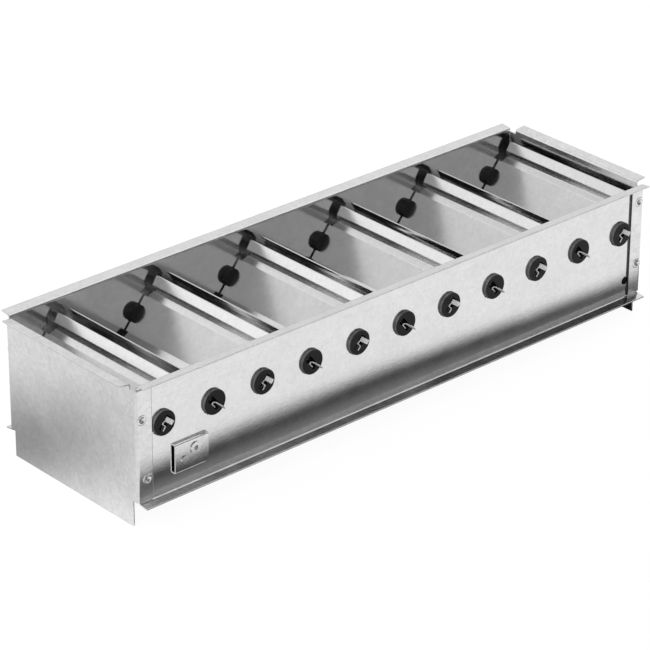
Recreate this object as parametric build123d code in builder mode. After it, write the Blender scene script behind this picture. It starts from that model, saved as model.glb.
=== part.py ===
from build123d import *
from math import cos, hypot, radians, sin
import os

# Opposed blade damper: eleven sheet blades in a folded frame, geared together by two link bars.
# Millimetres. Origin at the centre of the footprint, level with the end walls' lower edges.
# X runs along the frame, Y from the front wall to the back wall, Z up.

# Frame
pitch = 38.0
blade_count = 11
sheet = 0.8
end_gap = 0.2
width = 120.5
top_height = 93.1
axis_height = 63.5
skirt_height = 16.0
flange_width = 6.85
flange_spring = 7.0
bend_inside = 0.8
return_width = 11.5
return_foot = 1.0
return_head_gap = 3.1
flange_inset = 5.1
skirt_inset = 4.0
touch = 0.02

# Blades
tilt = 39.0
blade_sheet = 0.7
flat_half = 12.4
valley_run = 4.5
valley_depth = 2.1
crest_run = 3.3
crest_height = 1.5
lip_run = 6.4
lip_height = 2.3
flat_gap = 1.0
edge_gap = 4.0

# Tongues of a blade, as they stand in their bushes: the tab is above the axis at one end
# and below it at the other
tab_width = 3.0
tab_reach = 6.0
tongue_offset = 0.3
tongue_top = 3.9
tongue_foot = 4.75
jog_rise = 1.0
jog_drop = 2.4
fold_top = 0.9
fold_foot = 2.8
fold_drop = 2.1
tab_foot = 3.6

# Bushes
disc_radius = 8.1
disc_thickness = 1.6
hub_stand = 4.0
bush_wall = 0.375
pocket_gap = 0.1
running = 0.05

# Link bars and the blades' link ears
crank_run = 6.1
link_sheet = 1.0
link_wall_gap = 0.9
link_ear_gap = 0.25
link_rim = 1.15
ear_width = 3.0
ear_slit = 0.5
nose_half = 1.75
nose_wall_gap = 0.45

# Yoke between the two link bars
yoke_cell = 3
yoke_offset = 10.0
yoke_half = 3.5
yoke_sheet = 0.8
yoke_pin_radius = 1.5
closed_tilt = 49.0

# Bracket plate, its rivets and the lever
bracket_left = 27.0
bracket_length = 25.1
bracket_low = 26.9
bracket_tall = 19.4
bracket_depth = 2.3
bracket_sheet = 0.9
bracket_bend = 1.2
bracket_clip = 3.0
fixing_along = 34.0
fixing_height = 34.3
fixing_radius = 1.6
fixing_head = 2.7
pivot_along = 42.2
pivot_height = 39.7
pivot_radius = 2.4
pivot_head = 3.75
pivot_bore = 1.5
head_thickness = 0.7
lever_sheet = 1.5
lever_gap = 0.15
lever_half = 4.0
lever_tip = 10.2
lever_tab = 7.0
lever_pin_radius = 1.9
arm_offset = 8.5
shoulder_radius = 4.2

# Round dimples that press the returns to the long walls, as distance from the end and height
press_radius = 2.2
press_depth = 0.5
left_presses = [(3.9, 70.5), (7.4, 31.2)]
right_presses = [(4.0, 81.4), (3.9, 37.7)]

# Tooling hole beside the right return
notch_radius = 2.8
notch_along = 13.2
notch_height = 27.6

# Sizes that follow from the ones above
length = blade_count * pitch + 2 * (end_gap + sheet)
half_length = length / 2
half_width = width / 2
wall_in = half_width - sheet
wall_half = half_length - sheet - bend_inside
axes = [(k - (blade_count - 1) / 2) * pitch for k in range(blade_count)]
lean = radians(tilt)
shut = radians(closed_tilt)

valley_reach = flat_half + valley_run
crest_reach = valley_reach + crest_run
lip_reach = crest_reach + lip_run
flat_end = wall_in - flat_gap
edge_end = wall_in - edge_gap

pocket_high = jog_rise + blade_sheet / 2 + 2.5 * pocket_gap
pocket_low = jog_drop + blade_sheet / 2 + pocket_gap
pocket_half = max(tongue_top, tongue_foot, tab_foot) + pocket_gap
journal_radius = hypot(pocket_half, max(pocket_high, pocket_low)) + bush_wall
disc_in = half_width + running
disc_out = disc_in + disc_thickness

crank = flat_half + crank_run
nose_hole = hypot(nose_half, blade_sheet / 2) + running + 0.01
link_half = nose_hole + link_rim
link_front = wall_in - link_wall_gap
link_back = link_front - link_sheet
ear_end = link_back - link_ear_gap
ear_edge = ear_end - ear_width - ear_slit
link_shift = crank * sin(lean)
link_lift = crank * cos(lean)

lever_front = link_back - lever_gap
lever_back = lever_front - lever_sheet
pivot_x = pivot_along - half_length
fixing_x = fixing_along - half_length


# A long wall stands upright with a flange turned outward along its top and along its foot.
# side is -1 for the front wall and +1 for the back wall.
def long_wall(side):
    spring = radians(flange_spring)
    rise = flange_width * sin(spring)
    out = flange_width * cos(spring)
    with BuildPart() as wall:
        with BuildSketch(Plane.YZ):
            with BuildLine():
                FilletPolyline(
                    (-half_width - out, top_height - sheet + rise),
                    (-half_width, top_height - sheet),
                    (-half_width, skirt_height),
                    (-half_width - out, skirt_height - rise),
                    radius=bend_inside,
                )
                offset(amount=sheet, side=Side.LEFT)
            make_face()
        extrude(amount=wall_half, both=True)
        with BuildSketch(Plane.XZ.offset(half_width + 1)):
            for x in axes:
                with Locations((x, axis_height)):
                    Circle(journal_radius + running)
            if side < 0:
                with Locations((fixing_x, fixing_height)):
                    Circle(fixing_radius + touch)
                with Locations((pivot_x, pivot_height)):
                    Circle(pivot_radius + touch)
                with Locations((half_length - notch_along, notch_height)):
                    Circle(notch_radius)
        extrude(amount=-sheet - 2, mode=Mode.SUBTRACT)
    if side > 0:
        return mirror(wall.part, about=Plane.XZ)
    return wall.part


# An end wall has an outward flange on top, a skirt below, and returns that wrap the corners.
# hand is -1 for the left end wall and +1 for the right one.
def end_wall(hand):
    spring = radians(flange_spring)
    rise = flange_width * sin(spring)
    out = flange_width * cos(spring)
    rim = half_width + touch
    with BuildPart() as wall:
        with BuildSketch(Plane.XZ.offset(-half_width + flange_inset)):
            with BuildLine():
                FilletPolyline(
                    (-half_length - out, top_height - sheet + rise),
                    (-half_length, top_height - sheet),
                    (-half_length, skirt_height),
                    radius=bend_inside,
                )
                offset(amount=sheet, side=Side.LEFT)
            make_face()
        extrude(amount=width - 2 * flange_inset)
        with BuildSketch(Plane.YZ.offset(-half_length)):
            with Locations((0, skirt_height)):
                Rectangle(width - 2 * skirt_inset, 2 * skirt_height)
        extrude(amount=sheet)
        with BuildSketch(Plane.XY.offset(skirt_height + return_foot)):
            with BuildLine():
                FilletPolyline(
                    (-half_length + return_width, -rim),
                    (-half_length + sheet, -rim),
                    (-half_length + sheet, rim),
                    (-half_length + return_width, rim),
                    radius=bend_inside,
                )
                offset(amount=sheet, side=Side.LEFT)
            make_face()
        extrude(amount=top_height - return_head_gap - skirt_height - return_foot)
        presses = left_presses if hand < 0 else right_presses
        for face_side in (-1, 1):
            with BuildSketch(Plane.XZ.offset(-face_side * (rim + sheet))):
                for along, z in presses:
                    with Locations((along - half_length, z)):
                        Circle(press_radius)
            extrude(amount=face_side * press_depth, mode=Mode.SUBTRACT)
    if hand > 0:
        return mirror(wall.part, about=Plane.YZ)
    return wall.part


# The plane of a blade's section at its axis: its X runs up the blade, its normal points to the front.
def blade_plane(k, hand, y=0.0):
    return Plane(
        origin=(axes[k], y, axis_height),
        x_dir=(hand * sin(lean), 0, cos(lean)),
        z_dir=(0, -1, 0),
    )


# Outline of a thin strip that follows a line, with mitred corners and square ends.
def strip(line, thick):
    left = []
    right = []
    for i, (u, v) in enumerate(line):
        before = line[i - 1] if i else None
        after = line[i + 1] if i + 1 < len(line) else None
        ways = []
        for a, b in ((before, (u, v)), ((u, v), after)):
            if a and b:
                run = hypot(b[0] - a[0], b[1] - a[1])
                ways.append(((b[0] - a[0]) / run, (b[1] - a[1]) / run))
        normal = (-sum(w[1] for w in ways), sum(w[0] for w in ways))
        size = hypot(*normal)
        normal = (normal[0] / size, normal[1] / size)
        reach = thick / 2 / (normal[1] * ways[0][0] - normal[0] * ways[0][1])
        left.append((u + normal[0] * reach, v + normal[1] * reach))
        right.append((u - normal[0] * reach, v - normal[1] * reach))
    return left + right[::-1]


# A blade: flat middle, rolled edges cut back from the walls, a bent tongue at each end,
# and a link ear with a flat nose at the front end, above the axis or below it.
# Even blades are turned end for end, so their lower tongue is the one that shows in front.
def blade(k, hand):
    ear = hand
    roll = [
        (flat_half, 0),
        (valley_reach, -valley_depth),
        (crest_reach, crest_height),
        (lip_reach, lip_height),
    ]
    path = [(-u, -v) for u, v in reversed(roll)] + roll
    path = [(u, hand * v) for u, v in path]
    upper_tongue = [
        (tongue_top, tongue_offset),
        (0.9, tongue_offset),
        (-1.2, jog_rise),
        (-1.7, -jog_drop),
        (-tongue_foot, -jog_drop),
    ]
    lower_tongue = [
        (-tab_foot, tongue_offset),
        (-fold_top, tongue_offset),
        (fold_top, -fold_drop / 3),
        (fold_top, -fold_drop),
        (-fold_foot, -fold_drop),
    ]
    with BuildPart() as leaf:
        with BuildSketch(blade_plane(k, hand)):
            Polygon(*strip(path, blade_sheet), align=None)
        extrude(amount=edge_end, both=True)
        with BuildSketch(blade_plane(k, hand, -ear_edge)):
            with Locations((ear * (flat_half + lip_reach) / 2, 0)):
                Rectangle(lip_reach - flat_half + 2, 4 * valley_depth)
        extrude(amount=edge_gap + ear_width, mode=Mode.SUBTRACT)
        with BuildSketch(blade_plane(k, hand)):
            Rectangle(2 * flat_half, blade_sheet)
        extrude(amount=flat_end, both=True)
        with BuildSketch(blade_plane(k, hand, -ear_end)):
            with Locations((ear * (flat_half + crank + nose_half) / 2 - ear * 0.5, 0)):
                Rectangle(crank + nose_half - flat_half + 1, blade_sheet)
        extrude(amount=-ear_width)
        with BuildSketch(blade_plane(k, hand, -ear_end)):
            with Locations((ear * crank, 0)):
                Rectangle(2 * nose_half, blade_sheet)
        extrude(amount=wall_in - nose_wall_gap - ear_end)
        for end in (-1, 1):
            upper = hand * end < 0
            bent = upper_tongue if upper else lower_tongue
            tab_middle = tongue_top - tab_width / 2 if upper else tab_width / 2 - tab_foot
            with BuildSketch(blade_plane(k, hand, end * flat_end)):
                Polygon(*strip([(u, hand * v) for u, v in bent], blade_sheet), align=None)
            extrude(amount=-end * (disc_out - flat_end))
            with BuildSketch(blade_plane(k, hand, end * disc_out)):
                with Locations((tab_middle, hand * tongue_offset)):
                    Rectangle(tab_width, blade_sheet)
            extrude(amount=-end * tab_reach)
    return leaf.part


# A bush: disc outside the wall, journal through it, hub inside slotted across for the blade.
# end is -1 for the front wall and +1 for the back wall.
def bush(k, hand, end):
    inner = wall_in - hub_stand
    mid = hand * (pocket_high - pocket_low) / 2
    with BuildPart() as body:
        with BuildSketch(blade_plane(k, hand, end * disc_in)):
            Circle(disc_radius)
        extrude(amount=-end * disc_thickness)
        with BuildSketch(blade_plane(k, hand, end * disc_in)):
            Circle(journal_radius)
        extrude(amount=end * (disc_in - inner))
        with BuildSketch(blade_plane(k, hand, end * disc_out)):
            with Locations((0, mid)):
                Rectangle(2 * pocket_half, pocket_high + pocket_low)
        extrude(amount=end * (disc_out - flat_end + pocket_gap), mode=Mode.SUBTRACT)
        with BuildSketch(blade_plane(k, hand, end * inner)):
            Rectangle(2 * journal_radius + 1, blade_sheet + 2 * touch)
        extrude(amount=-end * (flat_end - inner + running), mode=Mode.SUBTRACT)
    return body.part


# A round rivet or pin along Y, as steps of (start, end, radius) measured toward the front.
def turned(x, z, steps):
    with BuildPart() as pin:
        for start, stop, radius in steps:
            with BuildSketch(Plane.XZ.offset(start)):
                with Locations((x, z)):
                    Circle(radius)
            extrude(amount=stop - start)
    return pin.part


# A link bar with a round hole for each blade nose on it.
def link_bar(points, z, start, stop):
    with BuildPart() as bar:
        with BuildSketch(Plane.XZ.offset(link_back)):
            with Locations(((start + stop) / 2, z)):
                SlotOverall(stop - start, 2 * link_half)
            for x in points:
                with Locations((x, z)):
                    Circle(nose_hole, mode=Mode.SUBTRACT)
        extrude(amount=link_sheet)
    return bar.part


# Frame walls
front_wall = long_wall(-1)
back_wall = long_wall(1)
left_end_wall = end_wall(-1)
right_end_wall = end_wall(1)

# Bracket plate: a shallow channel, open to the left and right, with one corner clipped
bracket_high = bracket_low + bracket_tall
bracket_start = bracket_left - half_length
bracket_stop = bracket_start + bracket_length
face = half_width + bracket_depth
with BuildPart() as bracket_plate:
    with BuildSketch(Plane.YZ.offset(bracket_start)):
        with BuildLine():
            FilletPolyline(
                (-half_width - touch, bracket_high),
                (-face, bracket_high),
                (-face, bracket_low),
                (-half_width - touch, bracket_low),
                radius=bracket_bend,
            )
            offset(amount=bracket_sheet, side=Side.LEFT)
        make_face()
    extrude(amount=bracket_length)
    with BuildSketch(Plane.XZ.offset(half_width)):
        with BuildLine():
            Polyline(
                (bracket_stop + 1, bracket_low + bracket_clip),
                (bracket_stop, bracket_low + bracket_clip),
                (bracket_stop - bracket_clip, bracket_low),
                (bracket_stop - bracket_clip, bracket_low - 1),
                (bracket_stop + 1, bracket_low - 1),
                close=True,
            )
        make_face()
        with Locations((fixing_x, fixing_height)):
            Circle(fixing_radius + touch)
        with Locations((pivot_x, pivot_height)):
            Circle(pivot_radius + touch)
    extrude(amount=bracket_depth + 1, mode=Mode.SUBTRACT)

bracket_rivet = turned(
    fixing_x,
    fixing_height,
    [
        (wall_in - touch - head_thickness, wall_in - touch, fixing_head),
        (wall_in - touch, face + touch, fixing_radius),
        (face + touch, face + touch + head_thickness, fixing_head),
    ],
)
# The pivot rivet has a shoulder that keeps the lever off the wall, and a hollow outer end
pivot_shank = turned(
    pivot_x,
    pivot_height,
    [
        (lever_back - running - head_thickness, lever_back - running, pivot_head),
        (lever_back - running, lever_front + running, pivot_radius),
        (lever_front + running, wall_in - touch, shoulder_radius),
        (wall_in - touch, face + touch, pivot_radius),
        (face + touch, face + touch + head_thickness, pivot_head),
    ],
)
with BuildPart() as pivot_rivet:
    add(pivot_shank)
    with BuildSketch(Plane.XZ.offset(face + touch + head_thickness)):
        with Locations((pivot_x, pivot_height)):
            Circle(pivot_bore)
    extrude(amount=-bracket_depth, mode=Mode.SUBTRACT)

# Upper link bar on the odd blades, with the yoke welded behind it
odd_axes = axes[0::2]
even_axes = axes[1::2]
upper_z = axis_height + link_lift
upper_points = [x + link_shift for x in odd_axes]
yoke_x = axes[yoke_cell - 1] + yoke_offset + link_shift
upper_link_bar = link_bar(
    upper_points, upper_z, upper_points[0] - link_half, upper_points[-1] + link_half
)

slot_top = 2 * crank * cos(shut) - yoke_pin_radius - 0.5
slot_low = 2 * crank + yoke_pin_radius + 0.5
yoke_front = link_back - touch
yoke_back = yoke_front - yoke_sheet
with BuildPart() as link_yoke:
    with BuildSketch(Plane.XZ.offset(yoke_back)):
        with Locations((yoke_x, upper_z + (link_half - slot_low - yoke_pin_radius) / 2)):
            RectangleRounded(2 * yoke_half, slot_low + yoke_pin_radius + link_half, yoke_half / 2)
        with Locations((yoke_x, upper_z - (slot_top + slot_low) / 2)):
            SlotOverall(
                slot_low - slot_top, 2 * (yoke_pin_radius + running), 90, mode=Mode.SUBTRACT
            )
    extrude(amount=yoke_sheet)

# Lower link bar on the even blades, with the drop arm to the lever pin
lower_z = axis_height - link_lift
lower_points = [x + link_shift for x in even_axes]
pin_x = pivot_x + link_shift
pin_z = pivot_height - link_lift
arm_x = pin_x + arm_offset
lower_link = link_bar(
    lower_points, lower_z, arm_x - link_half, lower_points[-1] + link_half
)
with BuildPart() as lower_link_bar:
    add(lower_link)
    with BuildSketch(Plane.XZ.offset(link_back)):
        with Locations((arm_x, (lower_z + pin_z) / 2)):
            SlotOverall(lower_z - pin_z + 2 * link_half, 2 * link_half, 90)
        with Locations(((arm_x + pin_x) / 2, pin_z)):
            SlotOverall(arm_x - pin_x + 2 * link_half, 2 * link_half)
    extrude(amount=link_sheet)
    with BuildSketch(Plane.XZ.offset(link_back)):
        with Locations((pin_x, pin_z)):
            Circle(lever_pin_radius + running)
        with Locations((yoke_x, lower_z)):
            Circle(yoke_pin_radius + touch)
    extrude(amount=link_sheet, mode=Mode.SUBTRACT)

yoke_pin = turned(
    yoke_x,
    lower_z,
    [
        (yoke_back - running - 0.5, yoke_back - running, yoke_pin_radius + 0.8),
        (yoke_back - running, link_front, yoke_pin_radius),
    ],
)

# Lever: hangs from the pivot rivet, carries the pin of the drop arm, ends in a bent finger tab
down = Plane(
    origin=(pivot_x, -lever_front, pivot_height),
    x_dir=(sin(lean), 0, -cos(lean)),
    z_dir=(0, 1, 0),
)
reach = crank + lever_tip
with BuildPart() as operating_lever:
    with BuildSketch(down):
        Circle(lever_half + 1.5)
        with Locations((reach / 2, 0)):
            Rectangle(reach, 2 * lever_half)
        Circle(pivot_radius + running, mode=Mode.SUBTRACT)
        with Locations((crank, 0)):
            Circle(lever_pin_radius + touch, mode=Mode.SUBTRACT)
    extrude(amount=lever_sheet)
    with BuildSketch(down):
        with Locations((reach - lever_sheet / 2, 0)):
            Rectangle(lever_sheet, 2 * lever_half)
    extrude(amount=lever_tab)
    tab_edge = operating_lever.edges().filter_by(GeomType.LINE).sort_by(
        lambda edge: (edge.center() - down.origin).dot(down.x_dir)
        - abs((edge.center() - down.origin).dot(down.z_dir)) * 5
    )
    fillet(tab_edge[-1], radius=lever_sheet * 0.8)

lever_pin = turned(
    pin_x,
    pin_z,
    [
        (lever_back, link_front + running, lever_pin_radius),
        (link_front + running, link_front + running + 0.4, lever_pin_radius + 1),
    ],
)

made = {
    "front_wall": front_wall,
    "back_wall": back_wall,
    "left_end_wall": left_end_wall,
    "right_end_wall": right_end_wall,
    "bracket_plate": bracket_plate.part,
    "bracket_rivet": bracket_rivet,
    "pivot_rivet": pivot_rivet.part,
    "upper_link_bar": upper_link_bar,
    "link_yoke": link_yoke.part,
    "lower_link_bar": lower_link_bar.part,
    "yoke_pin": yoke_pin,
    "operating_lever": operating_lever.part,
    "lever_pin": lever_pin,
}

# Odd blades lean one way with the ear above the axis, even blades the other way with it below.
for k in range(blade_count):
    hand = 1 if k % 2 == 0 else -1
    number = f"{k + 1:02d}"
    made["blade_" + number] = blade(k, hand)
    made["bush_pair_" + number] = Compound(children=[bush(k, hand, end) for end in (-1, 1)])

os.makedirs("parts", exist_ok=True)
for name, shape in made.items():
    shape.label = name
    export_step(shape, "parts/" + name + ".step")
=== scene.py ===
import math

import bmesh
import bpy
from mathutils import Matrix, Vector


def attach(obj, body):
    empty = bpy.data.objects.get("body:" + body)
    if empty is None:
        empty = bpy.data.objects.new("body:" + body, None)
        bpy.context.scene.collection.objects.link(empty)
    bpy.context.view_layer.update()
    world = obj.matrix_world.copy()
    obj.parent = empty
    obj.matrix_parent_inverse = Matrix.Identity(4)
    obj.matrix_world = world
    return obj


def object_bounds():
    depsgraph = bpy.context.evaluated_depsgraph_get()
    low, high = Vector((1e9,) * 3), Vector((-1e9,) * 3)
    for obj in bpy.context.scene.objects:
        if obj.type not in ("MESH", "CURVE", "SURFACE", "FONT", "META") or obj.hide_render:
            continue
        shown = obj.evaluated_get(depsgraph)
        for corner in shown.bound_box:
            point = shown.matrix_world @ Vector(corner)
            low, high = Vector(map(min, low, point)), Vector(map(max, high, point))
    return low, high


bl_info = {
    "name": "Opposed Blade Damper",
    "version": (1, 0, 0),
    "blender": (4, 5, 0),
    "location": "3D View > Sidebar > Damper",
    "description": "Finishes an opposed blade volume damper in galvanised sheet",
    "category": "Object",
}

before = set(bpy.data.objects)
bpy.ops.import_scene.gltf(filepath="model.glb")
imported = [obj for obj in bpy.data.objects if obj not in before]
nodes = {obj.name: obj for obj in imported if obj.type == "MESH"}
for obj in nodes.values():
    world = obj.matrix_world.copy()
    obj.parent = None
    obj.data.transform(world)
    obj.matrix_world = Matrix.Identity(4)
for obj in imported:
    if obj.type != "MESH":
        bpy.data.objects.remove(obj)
cad_low, cad_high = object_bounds()

MM = 0.001
WELD = 0.002 * MM
SHARP = math.radians(40)
STREAK_SCALE = (0.05, 1, 1)
BLADES = [name[-2:] for name in sorted(nodes) if name.startswith("blade_")]
LINK_NODES = ("upper_link_bar", "lower_link_bar", "link_yoke", "operating_lever")
PIN_NODES = ("bracket_rivet", "pivot_rivet", "yoke_pin", "lever_pin")

# Where the returns' dimples are along X and Z, and one dimple's section as radius and rise in millimetres
DIMPLES = ((-0.2061, 0.0705), (-0.2026, 0.0312), (0.206, 0.0814), (0.2061, 0.0377))
DIMPLE_SECTION = (
    (0, -0.4),
    (0.7, -0.38),
    (1.3, -0.26),
    (1.75, -0.06),
    (2.1, 0.14),
    (2.5, 0.27),
    (2.9, 0.27),
    (3.25, 0.14),
    (3.45, -0.1),
    (3.45, -0.5),
    (2.3, -0.5),
    (2.15, -0.46),
    (0, -0.46),
)

# Brightness of the sky by height, from 0 at the horizon to 1 overhead
REAR_LEFT_SKY = (
    (0.36, 0.85),
    (0.46, 0.54),
    (0.62, 0.52),
    (0.67, 0.85),
    (0.73, 0.85),
    (0.78, 0.5),
    (0.9, 0.25),
)
REAR_RIGHT_SKY = ((0.3, 0.6), (0.5, 0.66), (0.66, 0.66), (0.78, 0.62), (0.9, 0.25))
FRONT_RIGHT_SKY = ((0.16, 0.0), (0.24, 0.15), (0.46, 0.6), (0.52, 0.03), (0.65, 0.03), (0.69, 1.0))


# Node helpers


class Nodes:
    """Short names for the nodes that the materials, the floor and the world share."""

    def __init__(self, tree):
        self.tree = tree
        self.place = tree.nodes.new("ShaderNodeTexCoord")

    def link(self, source, target):
        self.tree.links.new(source, target)

    def feed(self, value, socket):
        """Writes a plain number in the socket, or links another node's output to it."""
        if isinstance(value, float):
            socket.default_value = value
        else:
            self.link(value, socket)

    def mapping(self, scale, turn=(0, 0, 0)):
        node = self.tree.nodes.new("ShaderNodeMapping")
        node.inputs["Scale"].default_value = scale
        node.inputs["Rotation"].default_value = turn
        self.link(self.place.outputs["Object"], node.inputs["Vector"])
        return node.outputs["Vector"]

    def noise(self, vector, scale, detail, rough, distortion=0.0):
        node = self.tree.nodes.new("ShaderNodeTexNoise")
        node.inputs["Scale"].default_value = scale
        node.inputs["Detail"].default_value = detail
        node.inputs["Roughness"].default_value = rough
        node.inputs["Distortion"].default_value = distortion
        self.link(vector, node.inputs["Vector"])
        return node.outputs["Fac"]

    def cells(self, vector, scale):
        node = self.tree.nodes.new("ShaderNodeTexVoronoi")
        node.inputs["Scale"].default_value = scale
        self.link(vector, node.inputs["Vector"])
        split = self.tree.nodes.new("ShaderNodeSeparateColor")
        self.link(node.outputs["Color"], split.inputs["Color"])
        return split.outputs["Red"]

    def spread(self, value, low, high, start=0.0, stop=1.0, kind="LINEAR"):
        """Goes from low to high while the value goes from start to stop."""
        node = self.tree.nodes.new("ShaderNodeMapRange")
        node.interpolation_type = kind
        for socket, number in zip(("From Min", "From Max", "To Min", "To Max"), (start, stop, low, high)):
            node.inputs[socket].default_value = number
        self.link(value, node.inputs["Value"])
        return node.outputs["Result"]

    def solve(self, operation, *values):
        node = self.tree.nodes.new("ShaderNodeMath")
        node.operation = operation
        for value, socket in zip(values, node.inputs):
            self.feed(value, socket)
        return node.outputs["Value"]

    def join(self, operation, *values):
        """Takes any number of values into one, two at a time."""
        total = values[0]
        for value in values[1:]:
            total = self.solve(operation, total, value)
        return total

    def distance(self, place):
        node = self.tree.nodes.new("ShaderNodeVectorMath")
        node.operation = "DISTANCE"
        node.inputs[1].default_value = place
        self.link(self.place.outputs["Object"], node.inputs[0])
        return node.outputs["Value"]

    def parts(self, vector):
        split = self.tree.nodes.new("ShaderNodeSeparateXYZ")
        self.link(vector, split.inputs["Vector"])
        return split.outputs["X"], split.outputs["Y"], split.outputs["Z"]

    def blend(self, first, second, share):
        """first where share is 0, second where it is 1."""
        node = self.tree.nodes.new("ShaderNodeMix")
        for name, value in (("Factor", share), ("A", first), ("B", second)):
            socket = next(entry for entry in node.inputs if entry.name == name and entry.type == "VALUE")
            self.feed(value, socket)
        return node.outputs["Result"]

    def ramp(self, value, stops):
        """A ramp of greys, with each stop as a position and a level."""
        node = self.tree.nodes.new("ShaderNodeValToRGB")
        points = node.color_ramp.elements
        while len(points) < len(stops):
            points.new(0.5)
        for point, (position, level) in zip(points, stops):
            point.position = position
            point.color = (level, level, level, 1.0)
        self.link(value, node.inputs["Fac"])
        return node.outputs["Color"]


class Finish(Nodes):
    """A new material with its shader."""

    def __init__(self, name):
        self.material = bpy.data.materials.new(name)
        self.material.use_nodes = True
        super().__init__(self.material.node_tree)
        self.shader = self.tree.nodes["Principled BSDF"]

    def bump(self, heights, bend=0.0):
        """Bumps over the surface, whose sharp bends shade as if rounded to the radius bend."""
        normal = None
        if bend:
            node = self.tree.nodes.new("ShaderNodeBevel")
            node.samples = 6
            node.inputs["Radius"].default_value = bend
            normal = node.outputs["Normal"]
        for height, distance, strength in heights:
            node = self.tree.nodes.new("ShaderNodeBump")
            node.inputs["Distance"].default_value = distance
            node.inputs["Strength"].default_value = strength
            self.link(height, node.inputs["Height"])
            if normal:
                self.link(normal, node.inputs["Normal"])
            normal = node.outputs["Normal"]
        self.link(normal, self.shader.inputs["Normal"])


def painted_lap_shade(made, look, across, along):
    """1 over the sheet, and near 0 on the right return's free front edge: painted shade, darkening the
    colour where that edge stands in shadow.
    """
    start = look.lap_edge
    stop = look.lap_edge + look.lap_shade
    shade = made.join(
        "MULTIPLY",
        made.spread(across, 0.0, 1.0, start - 0.4 * MM, start - 0.2 * MM),
        made.spread(across, 1.0, 0.0, stop, stop + 0.3 * MM),
        made.spread(along, 1.0, 0.0, -look.lap_face - 0.2 * MM, -look.lap_face),
    )
    return made.spread(shade, 1.0, look.lap_level)


def galvanised(
    name,
    look,
    tone,
    roughness,
    contrast,
    wave=0.0,
    streak_turn=(0, 0, 0),
    dull_end=None,
    bend=0.0,
    paint_lap_shade=False,
):
    """Zinc coated sheet: spangle cells, rolling streaks, fine grain, and slow waves in wide panels.
    Past dull_end, a distance along Y from the middle, the sheet is scuffed dull. Its sharp bends shade as
    if rounded to the radius bend. When asked, the sheet gets painted shade on the right return's free front
    edge."""
    made = Finish(name)
    made.shader.inputs["Metallic"].default_value = 1.0
    even = made.mapping((1, 1, 1))
    spangle = made.cells(even, look.spangle)
    grain = made.noise(even, look.grain, detail=4.0, rough=0.65)
    cloud = made.noise(even, look.cloud, detail=4.0, rough=0.6, distortion=0.4)
    streak = made.noise(made.mapping(STREAK_SCALE, streak_turn), look.grain, detail=2.0, rough=0.5)
    speckle = made.noise(even, look.speckle, detail=2.0, rough=0.6)
    # Each pattern's share of the tone, and the stretch of its values that counts
    shade = made.join(
        "ADD",
        made.spread(spangle, 0.0, 0.22),
        made.spread(cloud, 0.0, 0.28, 0.3, 0.7),
        made.spread(grain, 0.0, 0.35, 0.3, 0.7),
        made.spread(streak, 0.0, 0.15, 0.2, 0.8),
    )
    stops = []
    for step in (-1, 0, 1):
        level = min(tone * (1 + step * contrast), look.brightest)
        stops.append((0.5 + step * look.tone_stretch, level))
    across, along, _ = made.parts(made.place.outputs["Object"])
    colour = made.ramp(shade, stops)
    # Painted shade: the colour is darkened along the right return's free front edge, standing in for its
    # shadow
    if paint_lap_shade:
        colour = made.join("MULTIPLY", colour, painted_lap_shade(made, look, across, along))
    made.link(colour, made.shader.inputs["Base Color"])
    rough = made.spread(made.join("ADD", cloud, grain), roughness * 0.8, roughness * 1.25, 0.7, 1.3)
    if dull_end:
        scuffed = made.spread(made.solve("ABSOLUTE", along), 0.0, 1.0, dull_end, dull_end + 0.4 * MM)
        made.link(made.spread(scuffed, 1.0, look.tab_metal), made.shader.inputs["Metallic"])
        rough = made.blend(rough, look.tab_roughness, scuffed)
    made.link(rough, made.shader.inputs["Roughness"])
    # Each pattern's height and strength
    heights = [
        (spangle, 0.01 * MM, 0.2),
        (streak, 0.008 * MM, 0.3),
        (grain, 0.01 * MM, 0.5),
        (speckle, look.speckle_height, 1.0),
    ]
    if wave:
        heights.append((made.noise(even, look.wave_density, detail=1.0, rough=0.4), wave, 1.0))
    made.bump(heights, bend)
    return made.material


def plastic(name, look):
    """Black moulded plastic with a faint satin grain, with a painted highlight that brightens the discs'
    colour around the rim.
    """
    made = Finish(name)
    even = made.mapping((1, 1, 1))
    grain = made.noise(even, look.grain, detail=3.0, rough=0.6)
    cloud = made.noise(even, look.cloud, detail=2.0, rough=0.5)
    across, _, high = made.parts(made.place.outputs["Object"])
    offset = made.solve("PINGPONG", across, look.pitch / 2)
    rise = made.solve("SUBTRACT", high, look.axis_height)
    squares = [made.solve("MULTIPLY", value, value) for value in (offset, rise)]
    radius = made.solve("SQRT", made.join("ADD", *squares))
    # Painted highlight: past the rim radius the disc's colour is made many times brighter, for light caught
    # on the rim
    rim = made.spread(radius, 1.0, look.rim_painted_highlight, look.rim_radius - 0.3 * MM, look.rim_radius)
    tone = made.ramp(cloud, [(0.3, look.tone * 0.7), (0.7, look.tone * 1.4)])
    made.link(made.join("MULTIPLY", tone, rim), made.shader.inputs["Base Color"])
    made.shader.inputs["Specular IOR Level"].default_value = look.gloss
    made.link(
        made.spread(made.join("ADD", cloud, grain), look.roughness - 0.06, look.roughness + 0.1, 0.7, 1.3),
        made.shader.inputs["Roughness"],
    )
    made.bump([(grain, 0.01 * MM, 0.5)])
    return made.material


def dress(name, material):
    """Gives a carried-over CAD node its material."""
    slots = nodes[name].data.materials
    slots.clear()
    slots.append(material)


def soften(name, width):
    """Rounds a CAD node's sharp edges as a live modifier, over its unchanged mesh."""
    piece = nodes[name]
    weld = piece.modifiers.new("weld", "WELD")
    weld.merge_threshold = WELD
    bevel = piece.modifiers.new("soft_edges", "BEVEL")
    bevel.width = width
    bevel.segments = 2
    bevel.limit_method = "ANGLE"
    bevel.angle_limit = SHARP
    bevel.harden_normals = False


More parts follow.
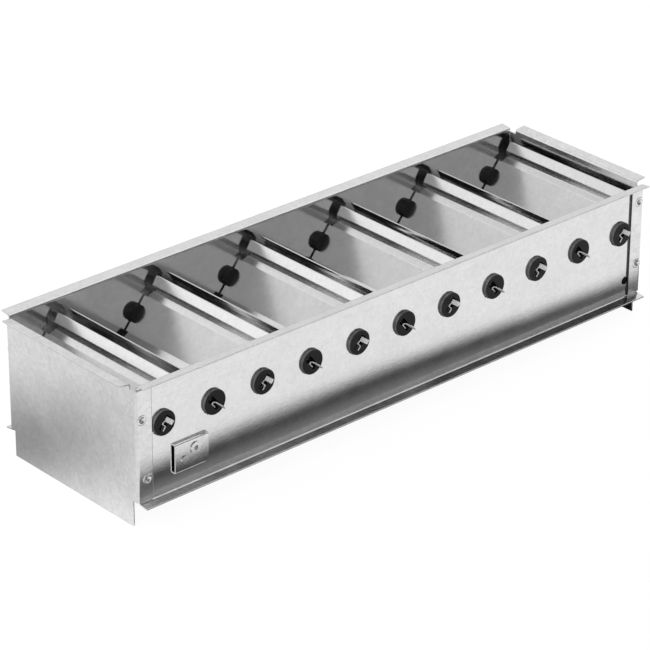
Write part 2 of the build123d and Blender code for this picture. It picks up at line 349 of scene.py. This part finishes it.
def add_piece(name, shape, material, body):
    """Makes a finished shape a smooth piece that moves with a body."""
    mesh = bpy.data.meshes.new(name)
    shape.to_mesh(mesh)
    shape.free()
    for face in mesh.polygons:
        face.use_smooth = True
    mesh.materials.append(material)
    piece = bpy.data.objects.new(name, mesh)
    bpy.context.scene.collection.objects.link(piece)
    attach(piece, body)


# Settings


class SheetLook(bpy.types.PropertyGroup):
    """Finish of the zinc coated sheet, the links and the pins"""

    wall_tone: bpy.props.FloatProperty(
        name="Long walls, tone", description="Brightness of the long walls", default=0.8, min=0, max=1
    )
    wall_roughness: bpy.props.FloatProperty(
        name="Long walls, roughness",
        description="Mean roughness of the long walls",
        default=0.12,
        min=0,
        max=1,
    )
    end_tone: bpy.props.FloatProperty(
        name="End walls, tone", description="Brightness of the end walls", default=0.8, min=0, max=1
    )
    end_roughness: bpy.props.FloatProperty(
        name="End walls, roughness",
        description="Mean roughness of the end walls",
        default=0.18,
        min=0,
        max=1,
    )
    blade_tone: bpy.props.FloatProperty(
        name="Blades, tone", description="Brightness of the blades", default=0.8, min=0, max=1
    )
    blade_roughness: bpy.props.FloatProperty(
        name="Blades, roughness", description="Mean roughness of the blades", default=0.2, min=0, max=1
    )
    plate_tone: bpy.props.FloatProperty(
        name="Plate, tone", description="Brightness of the bracket plate", default=0.8, min=0, max=1
    )
    plate_roughness: bpy.props.FloatProperty(
        name="Plate, roughness",
        description="Mean roughness of the bracket plate",
        default=0.13,
        min=0,
        max=1,
    )
    tab_length: bpy.props.FloatProperty(
        name="Tab, length", description="Length of a blade's scuffed tab", default=0.0064, unit="LENGTH"
    )
    tab_metal: bpy.props.FloatProperty(
        name="Tab, metal",
        description="Metallic share of the blades' scuffed tabs",
        default=0.35,
        min=0,
        max=1,
    )
    tab_roughness: bpy.props.FloatProperty(
        name="Tab, roughness",
        description="Roughness of the blades' scuffed tabs",
        default=0.5,
        min=0,
        max=1,
    )
    contrast: bpy.props.FloatProperty(
        name="Contrast", description="Spread of brightness over the spangle", default=0.16, min=0, max=1
    )
    wall_contrast: bpy.props.FloatProperty(
        name="Long walls, contrast",
        description="Share of the contrast that the long walls have",
        default=0.6,
        min=0,
        max=1,
    )
    blade_contrast: bpy.props.FloatProperty(
        name="Blades, contrast",
        description="Share of the contrast that the blades and the pins have",
        default=0.5,
        min=0,
        max=1,
    )
    tone_stretch: bpy.props.FloatProperty(
        name="Tone stretch",
        description="How far from the middle the tone is at its ends",
        default=0.35,
        min=0,
        max=0.5,
    )
    brightest: bpy.props.FloatProperty(
        name="Brightest", description="Upper limit of the tone", default=0.97, min=0, max=1
    )
    spangle: bpy.props.FloatProperty(
        name="Spangle density", description="Zinc crystals per metre", default=420.0, min=1
    )
    cloud: bpy.props.FloatProperty(
        name="Cloud density", description="Cloudy patches per metre", default=45.0, min=1
    )
    grain: bpy.props.FloatProperty(
        name="Grain density", description="Fine grains per metre", default=1400.0, min=1
    )
    wave: bpy.props.FloatProperty(
        name="Panel wave", description="Height of the slow waves", default=0.0006, unit="LENGTH"
    )
    wave_density: bpy.props.FloatProperty(
        name="Wave density", description="Slow waves per metre", default=11.0, min=1
    )
    speckle: bpy.props.FloatProperty(
        name="Speckle density", description="Fine flecks per metre", default=650.0, min=1
    )
    speckle_height: bpy.props.FloatProperty(
        name="Speckle height", description="Height of the fine flecks", default=0.00002, unit="LENGTH"
    )
    edge: bpy.props.FloatProperty(
        name="Edge radius", description="Rounding of cut edges and bends", default=0.0002, unit="LENGTH"
    )
    pin_edge: bpy.props.FloatProperty(
        name="Pin edge radius",
        description="Rounding of the edges of pins and rivets",
        default=0.00015,
        unit="LENGTH",
    )
    bend: bpy.props.FloatProperty(
        name="Bend radius",
        description="Radius to which the blades' bends shade",
        default=0.001,
        unit="LENGTH",
    )
    wall_bend: bpy.props.FloatProperty(
        name="Wall bend radius",
        description="Radius to which the walls' bends shade",
        default=0.0007,
        unit="LENGTH",
    )
    # Painted shade on the right return's free front edge: where it starts, how wide it is, how much tone it
    # keeps, and which face it covers
    lap_edge: bpy.props.FloatProperty(
        name="Lap edge",
        description="Where the right return's free edge stands",
        default=0.1985,
        unit="LENGTH",
    )
    lap_shade: bpy.props.FloatProperty(
        name="Lap shade",
        description="Width of the dark edge of the right return",
        default=0.0009,
        unit="LENGTH",
    )
    lap_level: bpy.props.FloatProperty(
        name="Lap level",
        description="Share of the tone that the dark edge keeps",
        default=0.06,
        min=0,
        max=1,
    )
    lap_face: bpy.props.FloatProperty(
        name="Lap face",
        description="How far the returns' inner faces stand from the middle",
        default=0.0602,
        unit="LENGTH",
    )
    return_face: bpy.props.FloatProperty(
        name="Return face",
        description="How far the returns' outer faces stand from the middle",
        default=0.06107,
        unit="LENGTH",
    )


class BushLook(bpy.types.PropertyGroup):
    """Finish of the bushes, and the sizes of their lugs"""

    tone: bpy.props.FloatProperty(
        name="Tone", description="Brightness of the plastic", default=0.008, min=0, max=1
    )
    gloss: bpy.props.FloatProperty(
        name="Gloss", description="Specular level of the plastic", default=0.22, min=0, max=1
    )
    pitch: bpy.props.FloatProperty(
        name="Pitch", description="Distance between blade axes", default=0.038, unit="LENGTH"
    )
    axis_height: bpy.props.FloatProperty(
        name="Axis height", description="Height of the blade axes", default=0.0635, unit="LENGTH"
    )
    # Painted highlight on the disc rims: where it starts and how many times it brightens the colour
    rim_radius: bpy.props.FloatProperty(
        name="Rim radius",
        description="Radius past which a disc's rim is bloomed",
        default=0.008,
        unit="LENGTH",
    )
    rim_painted_highlight: bpy.props.FloatProperty(
        name="Rim bloom",
        description="How many times brighter the rim is than the face",
        default=17.0,
        min=0,
    )
    roughness: bpy.props.FloatProperty(
        name="Roughness", description="Mean roughness of the plastic", default=0.38, min=0, max=1
    )
    grain: bpy.props.FloatProperty(
        name="Grain density", description="Fine grains per metre", default=2600.0, min=1
    )
    cloud: bpy.props.FloatProperty(
        name="Cloud density", description="Cloudy patches per metre", default=180.0, min=1
    )
    edge: bpy.props.FloatProperty(
        name="Edge radius", description="Rounding of moulded edges", default=0.00018, unit="LENGTH"
    )
    disc_radius: bpy.props.FloatProperty(
        name="Disc radius", description="Radius of a bush disc", default=0.0081, unit="LENGTH"
    )
    disc_middle: bpy.props.FloatProperty(
        name="Disc middle",
        description="How far the discs' middles stand from the middle",
        default=0.0611,
        unit="LENGTH",
    )
    lug_width: bpy.props.FloatProperty(
        name="Lug width", description="Width of a bush lug", default=0.0013, unit="LENGTH"
    )
    lug_depth: bpy.props.FloatProperty(
        name="Lug depth", description="Depth of a bush lug", default=0.0012, unit="LENGTH"
    )
    lug_rise: bpy.props.FloatProperty(
        name="Lug rise", description="How far a lug stands out of its disc", default=0.00034, unit="LENGTH"
    )
    lug_edge: bpy.props.FloatProperty(
        name="Lug edge radius", description="Rounding of the edges of a lug", default=0.00012, unit="LENGTH"
    )
    lug_turns: bpy.props.FloatVectorProperty(
        name="Lug turns",
        description="Angles of the lugs from the top",
        default=[math.radians(angle) for angle in (-6, 126, 222)],
        subtype="EULER",
    )


class StageLook(bpy.types.PropertyGroup):
    """Floor, sky, lamp and camera"""

    floor_size: bpy.props.FloatProperty(
        name="Floor size", description="Side of the floor", default=30.0, unit="LENGTH"
    )
    floor_tone: bpy.props.FloatProperty(
        name="Floor tone", description="Brightness of the floor", default=0.05, min=0, max=1
    )
    floor_roughness: bpy.props.FloatProperty(
        name="Floor roughness", description="Roughness of the floor", default=0.9, min=0, max=1
    )
    floor_lift: bpy.props.FloatProperty(
        name="Floor lift", description="White added where the open floor is seen", default=0.95, min=0
    )
    mirror_share: bpy.props.FloatProperty(
        name="Mirrored share",
        description="Share of the lift that the sheet shows",
        default=0.92,
        min=0,
        max=1,
    )
    rim: bpy.props.FloatProperty(
        name="Rim",
        description="How far flanges and tabs stand out past the walls",
        default=0.0076,
        unit="LENGTH",
    )
    # Painted shadow in the floor's lift that the sheet reflects: its depth, edge, taper and reach
    shade_front: bpy.props.FloatProperty(
        name="Shade in front",
        description="Depth of the dark floor that the sheet shows",
        default=0.036,
        unit="LENGTH",
    )
    shade_edge: bpy.props.FloatProperty(
        name="Shade edge", description="Width over which the lift comes in", default=0.021, unit="LENGTH"
    )
    shade_taper: bpy.props.FloatProperty(
        name="Shade taper",
        description="How much shallower the dark floor is at the right end",
        default=0.014,
        unit="LENGTH",
    )
    taper_start: bpy.props.FloatProperty(
        name="Taper start",
        description="Where along the row the dark floor starts to narrow",
        default=0.03,
        unit="LENGTH",
    )
    taper_stop: bpy.props.FloatProperty(
        name="Taper stop",
        description="Where along the row the dark floor is narrowest",
        default=0.22,
        unit="LENGTH",
    )
    shade_inner: bpy.props.FloatProperty(
        name="Inner shade edge",
        description="Width over which the lift comes in at the left and the rear",
        default=0.003,
        unit="LENGTH",
    )
    shade_right: bpy.props.FloatProperty(
        name="Shade past the right end",
        description="How far the dark floor runs on",
        default=0.05,
        unit="LENGTH",
    )
    under_front: bpy.props.FloatProperty(
        name="Under the front",
        description="Depth of open floor seen below the front wall",
        default=0.018,
        unit="LENGTH",
    )
    # Painted shadow: the floor's lift fades out over this depth under the part
    under_soft: bpy.props.FloatProperty(
        name="Soft shade",
        description="Depth over which the floor darkens under the part",
        default=0.05,
        unit="LENGTH",
    )
    # Painted light: a faint glow in the reflected floor close in front of the part
    shade_glow: bpy.props.FloatProperty(
        name="Shade glow", description="Brightness of the dark floor close to the part", default=0.28, min=0
    )
    glow_start: bpy.props.FloatProperty(
        name="Glow start",
        description="How far in front of the part the glow starts",
        default=0.0342,
        unit="LENGTH",
    )
    glow_full: bpy.props.FloatProperty(
        name="Glow full",
        description="How far in front of the part the glow is full",
        default=0.012,
        unit="LENGTH",
    )
    glow_lip: bpy.props.FloatProperty(
        name="Glow lip",
        description="How far under the part the glow stays full",
        default=0.004,
        unit="LENGTH",
    )
    glow_lean: bpy.props.FloatProperty(
        name="Glow lean", description="Share of the taper that the glow follows", default=0.6, min=0, max=1
    )
    # Painted shade: less lift in the floor that the left end wall reflects
    left_share: bpy.props.FloatProperty(
        name="Left share",
        description="Share of the lift that the left end wall shows",
        default=0.88,
        min=0,
        max=1,
    )
    left_run: bpy.props.FloatProperty(
        name="Left run",
        description="How far past the left end that share starts",
        default=0.02,
        unit="LENGTH",
    )
    # Painted shade: a darker spot in the reflected floor beside the left end
    spot_place: bpy.props.FloatVectorProperty(
        name="Spot place",
        description="Middle of the shaded spot beside the left end",
        default=(-0.215, 0.075, 0),
        unit="LENGTH",
    )
    spot_reach: bpy.props.FloatProperty(
        name="Spot reach", description="Radius of the shaded spot", default=0.12, unit="LENGTH"
    )
    spot_level: bpy.props.FloatProperty(
        name="Spot level",
        description="Share of the lift that is left in the spot",
        default=0.35,
        min=0,
        max=1,
    )
    sky_rear: bpy.props.FloatProperty(
        name="Rear sky", description="Brightness of the sky behind the part", default=1.3, min=0
    )
    sky_front: bpy.props.FloatProperty(
        name="Front sky", description="Brightness of the sky at the front left", default=0.38, min=0
    )
    sky_over: bpy.props.FloatProperty(
        name="Overhead sky",
        description="Brightness of the sky high at the front right",
        default=1.15,
        min=0,
    )
    fill_power: bpy.props.FloatProperty(
        name="Fill power", description="Strength of the soft fill lamp", default=2.5, min=0
    )
    fill_way: bpy.props.FloatVectorProperty(
        name="Fill direction", description="Where the fill lamp shines from", default=(-0.7, -0.35, 0.62)
    )
    fill_width: bpy.props.FloatProperty(
        name="Fill width",
        description="Angle that the fill lamp covers",
        default=math.radians(50),
        subtype="ANGLE",
    )
    lens: bpy.props.FloatProperty(
        name="Lens", description="Focal length in millimetres", default=186.08, min=1
    )
    camera_turn: bpy.props.FloatProperty(
        name="Camera turn",
        description="Heading of the camera",
        default=math.radians(41.976),
        subtype="ANGLE",
    )
    camera_tilt: bpy.props.FloatProperty(
        name="Camera tilt",
        description="Angle below the horizon",
        default=math.radians(26.991),
        subtype="ANGLE",
    )
    camera_roll: bpy.props.FloatProperty(
        name="Camera roll",
        description="Turn about the view line",
        default=math.radians(0.2),
        subtype="ANGLE",
    )
    camera_place: bpy.props.FloatVectorProperty(
        name="Camera place",
        description="Where the camera stands",
        default=(-1.25604, -1.38451, 0.99103),
        unit="LENGTH",
    )


# Operators


class DAMPER_OT_frame(bpy.types.Operator):
    """Finishes the four folded walls and the bracket plate"""

    bl_idname = "damper.frame"
    bl_label = "Frame walls"

    def execute(self, context):
        look = context.scene.damper_sheet
        long_sheet = galvanised(
            "zinc_long_walls",
            look,
            look.wall_tone,
            look.wall_roughness,
            look.contrast * look.wall_contrast,
            look.wave,
            bend=look.wall_bend,
        )
        end_sheet = galvanised(
            "zinc_end_walls",
            look,
            look.end_tone,
            look.end_roughness,
            look.contrast,
            look.wave,
            (0, 0, math.pi / 2),
            bend=look.wall_bend,
            paint_lap_shade=True,
        )
        for name in ("front_wall", "back_wall"):
            dress(name, long_sheet)
        for name in ("left_end_wall", "right_end_wall"):
            dress(name, end_sheet)
        plate = galvanised("zinc_bracket", look, look.plate_tone, look.plate_roughness, look.contrast)
        dress("bracket_plate", plate)
        return {"FINISHED"}


class DAMPER_OT_blades(bpy.types.Operator):
    """Finishes the blades"""

    bl_idname = "damper.blades"
    bl_label = "Blades"

    def execute(self, context):
        look = context.scene.damper_sheet
        sheet = galvanised(
            "zinc_blades",
            look,
            look.blade_tone,
            look.blade_roughness,
            look.contrast * look.blade_contrast,
            look.wave / 2,
            (0, 0, math.pi / 2),
            cad_high[1] - look.tab_length,
            look.bend,
        )
        for number in BLADES:
            name = "blade_" + number
            dress(name, sheet)
            soften(name, look.edge)
        return {"FINISHED"}


class DAMPER_OT_bushes(bpy.types.Operator):
    """Finishes the plastic bushes"""

    bl_idname = "damper.bushes"
    bl_label = "Bushes"

    def execute(self, context):
        look = context.scene.damper_bushes
        black = plastic("black_bush_plastic", look)
        for number in BLADES:
            name = "bush_pair_" + number
            dress(name, black)
            soften(name, look.edge)
        return {"FINISHED"}


class DAMPER_OT_linkage(bpy.types.Operator):
    """Finishes the link bars, the lever, the pins and the rivets"""

    bl_idname = "damper.linkage"
    bl_label = "Linkage and rivets"

    def execute(self, context):
        look = context.scene.damper_sheet
        even = look.contrast * look.blade_contrast
        strip = galvanised("zinc_links", look, look.blade_tone, look.end_roughness, look.contrast)
        pin = galvanised("zinc_pins", look, look.blade_tone, look.wall_roughness, even)
        for name in LINK_NODES:
            dress(name, strip)
        for name in PIN_NODES:
            dress(name, pin)
            soften(name, look.pin_edge)
        return {"FINISHED"}


class DAMPER_OT_dimples(bpy.types.Operator):
    """Adds the pressed dimples of the returns"""

    bl_idname = "damper.dimples"
    bl_label = "Dimples"

    def execute(self, context):
        look = context.scene.damper_sheet
        shape = bmesh.new()
        for side in (-1, 1):
            for along, high in DIMPLES:
                made = self.dimple()
                place = Matrix.Translation((along, side * look.return_face, high))
                made.transform(place @ Matrix.Scale(-side, 4, (0, 1, 0)))
                part = bpy.data.meshes.new("dimple")
                made.to_mesh(part)
                made.free()
                shape.from_mesh(part)
                bpy.data.meshes.remove(part)
        bmesh.ops.recalc_face_normals(shape, faces=shape.faces)
        add_piece("pressed_dimples", shape, nodes["left_end_wall"].data.materials[0], "frame")
        return {"FINISHED"}

    def dimple(self):
        """One dished dimple with its raised ring, turned about Y and standing out toward -Y."""
        made = bmesh.new()
        points = [made.verts.new((radius * MM, -rise * MM, 0)) for radius, rise in DIMPLE_SECTION]
        edges = [made.edges.new(pair) for pair in zip(points, points[1:])]
        bmesh.ops.spin(
            made,
            geom=points + edges,
            cent=(0, 0, 0),
            axis=(0, 1, 0),
            angle=math.tau,
            steps=40,
            use_merge=True,
        )
        bmesh.ops.remove_doubles(made, verts=made.verts, dist=WELD / 2)
        return made


class DAMPER_OT_lugs(bpy.types.Operator):
    """Adds the small lugs of the bush discs"""

    bl_idname = "damper.lugs"
    bl_label = "Bush lugs"

    def execute(self, context):
        look = context.scene.damper_bushes
        middle = (len(BLADES) - 1) / 2
        for order, number in enumerate(BLADES):
            self.lugs(look, number, (order - middle) * look.pitch)
        return {"FINISHED"}

    def lugs(self, look, number, along):
        shape = bmesh.new()
        for side in (-1, 1):
            for angle in look.lug_turns:
                made = bmesh.ops.create_cube(shape, size=1.0)["verts"]
                size = (look.lug_width, look.lug_depth, look.lug_rise * 2)
                bmesh.ops.scale(shape, vec=size, verts=made)
                bmesh.ops.translate(shape, vec=(0, side * look.disc_middle, look.disc_radius), verts=made)
                bmesh.ops.rotate(shape, cent=(0, 0, 0), matrix=Matrix.Rotation(angle, 3, "Y"), verts=made)
                bmesh.ops.translate(shape, vec=(along, 0, look.axis_height), verts=made)
        bmesh.ops.bevel(
            shape,
            geom=shape.edges[:],
            offset=look.lug_edge,
            segments=2,
            profile=0.5,
            affect="EDGES",
            material=-1,
        )
        black = nodes["bush_pair_" + number].data.materials[0]
        add_piece("bush_lugs_" + number, shape, black, "blade_unit_" + number)


class DAMPER_OT_stage(bpy.types.Operator):
    """Lays the floor and sets the light and the camera"""

    bl_idname = "damper.stage"
    bl_label = "Stage"

    def execute(self, context):
        look = context.scene.damper_stage
        self.floor(look)
        self.world(look)
        self.fill(look)
        self.camera(context, look)
        context.scene.view_settings.view_transform = "Standard"
        return {"FINISHED"}

    def floor(self, look):
        mesh = bpy.data.meshes.new("floor")
        shape = bmesh.new()
        bmesh.ops.create_grid(shape, x_segments=1, y_segments=1, size=look.floor_size / 2)
        shape.to_mesh(mesh)
        shape.free()
        piece = bpy.data.objects.new("floor", mesh)
        bpy.context.scene.collection.objects.link(piece)
        made = Finish("pale_floor")
        made.shader.inputs["Base Color"].default_value = (*[look.floor_tone] * 3, 1.0)
        made.shader.inputs["Roughness"].default_value = look.floor_roughness
        made.shader.inputs["Emission Color"].default_value = (1, 1, 1, 1)
        path = made.tree.nodes.new("ShaderNodeLightPath")
        across, along, _ = made.parts(made.place.outputs["Object"])
        # The camera and the metal see the lift with different painted shadows: glossy and transmission rays
        # get the mirrored one
        direct = made.join("MULTIPLY", path.outputs["Is Camera Ray"], self.seen(made, look, across, along))
        shown = made.join("MAXIMUM", path.outputs["Is Glossy Ray"], path.outputs["Is Transmission Ray"])
        mirrored = made.join("MULTIPLY", self.mirrored(made, look, across, along), shown)
        made.link(made.join("MAXIMUM", direct, mirrored), made.shader.inputs["Emission Strength"])
        mesh.materials.append(made.material)

    def seen(self, made, look, across, along):
        """The floor's lift as the camera sees it, which fades out softly under the part as a painted
        shadow.
        """
        soft = look.under_soft
        front = -look.rim - look.under_front - soft
        return self.open_floor(made, look, across, along, front, soft, -look.rim - soft, soft)

    def mirrored(self, made, look, across, along):
        """The floor's lift as the sheet shows it, painted with shade and light for the metal to reflect: a
        painted shadow under and in front of the part, a faint painted glow close in front of it, a painted
        shaded spot beside its left end, and less lift for the left end wall."""
        left, foot, _ = cad_low
        lip = foot + look.glow_lip
        bend = made.spread(across, 0.0, look.shade_taper, look.taper_start, look.taper_stop)
        bent = made.join("SUBTRACT", along, bend)
        clear = self.open_floor(
            made, look, across, bent, look.shade_front, look.shade_edge, look.shade_right, look.shade_inner
        )
        leant = made.join("SUBTRACT", along, made.join("MULTIPLY", bend, look.glow_lean))
        rising = made.spread(leant, 0.0, look.shade_glow, foot - look.glow_start, foot - look.glow_full)
        ending = made.spread(along, look.shade_glow, 0.0, lip, lip + look.rim)
        painted_spot_shade = made.spread(
            made.distance(look.spot_place),
            look.spot_level * look.mirror_share,
            look.mirror_share,
            0.0,
            look.spot_reach,
            "SMOOTHSTEP",
        )
        beside = made.spread(across, look.left_share, 1.0, left - look.left_run, left + look.rim)
        open_or_glow = made.join("MAXIMUM", clear, made.join("MINIMUM", rising, ending))
        return made.join("MULTIPLY", open_or_glow, painted_spot_shade, beside)

    def open_floor(self, made, look, across, along, front, edge, right, inner):
        """The lift of the open floor. There is none under the part, nor within the distances front and
        right of it, which paints the part's shadow into the floor's lift. It comes in over the width edge
        there, and over inner at the other sides."""
        sides = (
            (across, cad_low[0] + look.rim + inner, -inner),
            (across, cad_high[0] + right, edge),
            (along, cad_low[1] - front, -edge),
            (along, cad_high[1] - look.rim - inner, inner),
        )
        outside = [
            made.spread(value, 0.0, look.floor_lift, start, start + run, "SMOOTHSTEP")
            for value, start, run in sides
        ]
        return made.join("MAXIMUM", *outside)

    def world(self, look):
        world = bpy.data.worlds.new("studio")
        bpy.context.scene.world = world
        world.use_nodes = True
        made = Nodes(world.node_tree)
        across, along, high = made.parts(made.place.outputs["Generated"])
        # The last two numbers of a spread are the directions between which it goes over
        turn = made.spread(across, 0.0, 1.0, -0.3, 0.35, "SMOOTHSTEP")
        rear = made.blend(made.ramp(high, REAR_LEFT_SKY), made.ramp(high, REAR_RIGHT_SKY), turn)
        front_left = made.spread(across, look.sky_front, 0.0, -0.6, 0.5)
        right = made.spread(across, 0.0, look.sky_over, 0.3, 0.5)
        front_right = made.join("MULTIPLY", made.ramp(high, FRONT_RIGHT_SKY), right)
        front = made.join("MAXIMUM", front_left, front_right)
        side = made.spread(along, 0.0, 1.0, -0.25, 0.4, "SMOOTHSTEP")
        sky = made.blend(front, made.join("MULTIPLY", rear, look.sky_rear), side)
        made.link(sky, made.tree.nodes["Background"].inputs["Strength"])
        made.tree.nodes["Background"].inputs["Color"].default_value = (1, 1, 1, 1)

    def fill(self, look):
        lamp = bpy.data.lights.new("fill", "SUN")
        lamp.energy = look.fill_power
        lamp.angle = look.fill_width
        holder = bpy.data.objects.new("fill", lamp)
        holder.location = look.fill_way
        holder.rotation_euler = Vector(look.fill_way).to_track_quat("Z", "Y").to_euler()
        holder.visible_glossy = False
        bpy.context.scene.collection.objects.link(holder)

    def camera(self, context, look):
        data = bpy.data.cameras.new("view")
        data.lens = look.lens
        data.clip_start = 0.05
        data.clip_end = 100.0
        holder = bpy.data.objects.new("view", data)
        turn = (
            Matrix.Rotation(-look.camera_turn, 4, "Z")
            @ Matrix.Rotation(math.pi / 2 - look.camera_tilt, 4, "X")
            @ Matrix.Rotation(look.camera_roll, 4, "Z")
        )
        holder.matrix_world = Matrix.Translation(look.camera_place) @ turn
        bpy.context.scene.collection.objects.link(holder)
        context.scene.camera = holder


class DAMPER_PT_panel(bpy.types.Panel):
    bl_label = "Damper"
    bl_space_type = "VIEW_3D"
    bl_region_type = "UI"
    bl_category = "Damper"

    def draw(self, context):
        for maker in OPERATORS:
            self.layout.operator(maker.bl_idname)
        for key, look in LOOKS.items():
            box = self.layout.box()
            for name in look.__annotations__:
                box.prop(getattr(context.scene, key), name)


LOOKS = {
    "damper_sheet": SheetLook,
    "damper_bushes": BushLook,
    "damper_stage": StageLook,
}
OPERATORS = (
    DAMPER_OT_stage,
    DAMPER_OT_frame,
    DAMPER_OT_blades,
    DAMPER_OT_bushes,
    DAMPER_OT_linkage,
    DAMPER_OT_dimples,
    DAMPER_OT_lugs,
)


def register():
    for group in (*LOOKS.values(), *OPERATORS, DAMPER_PT_panel):
        bpy.utils.register_class(group)
    for name, look in LOOKS.items():
        setattr(bpy.types.Scene, name, bpy.props.PointerProperty(type=look))


def unregister():
    for name in LOOKS:
        delattr(bpy.types.Scene, name)
    for group in (DAMPER_PT_panel, *reversed(OPERATORS), *reversed(LOOKS.values())):
        bpy.utils.unregister_class(group)


def main():
    register()
    bpy.ops.damper.stage()
    bpy.ops.damper.frame()
    bpy.ops.damper.blades()
    bpy.ops.damper.bushes()
    bpy.ops.damper.linkage()
    bpy.ops.damper.dimples()
    bpy.ops.damper.lugs()


if __name__ == "__main__":
    main()
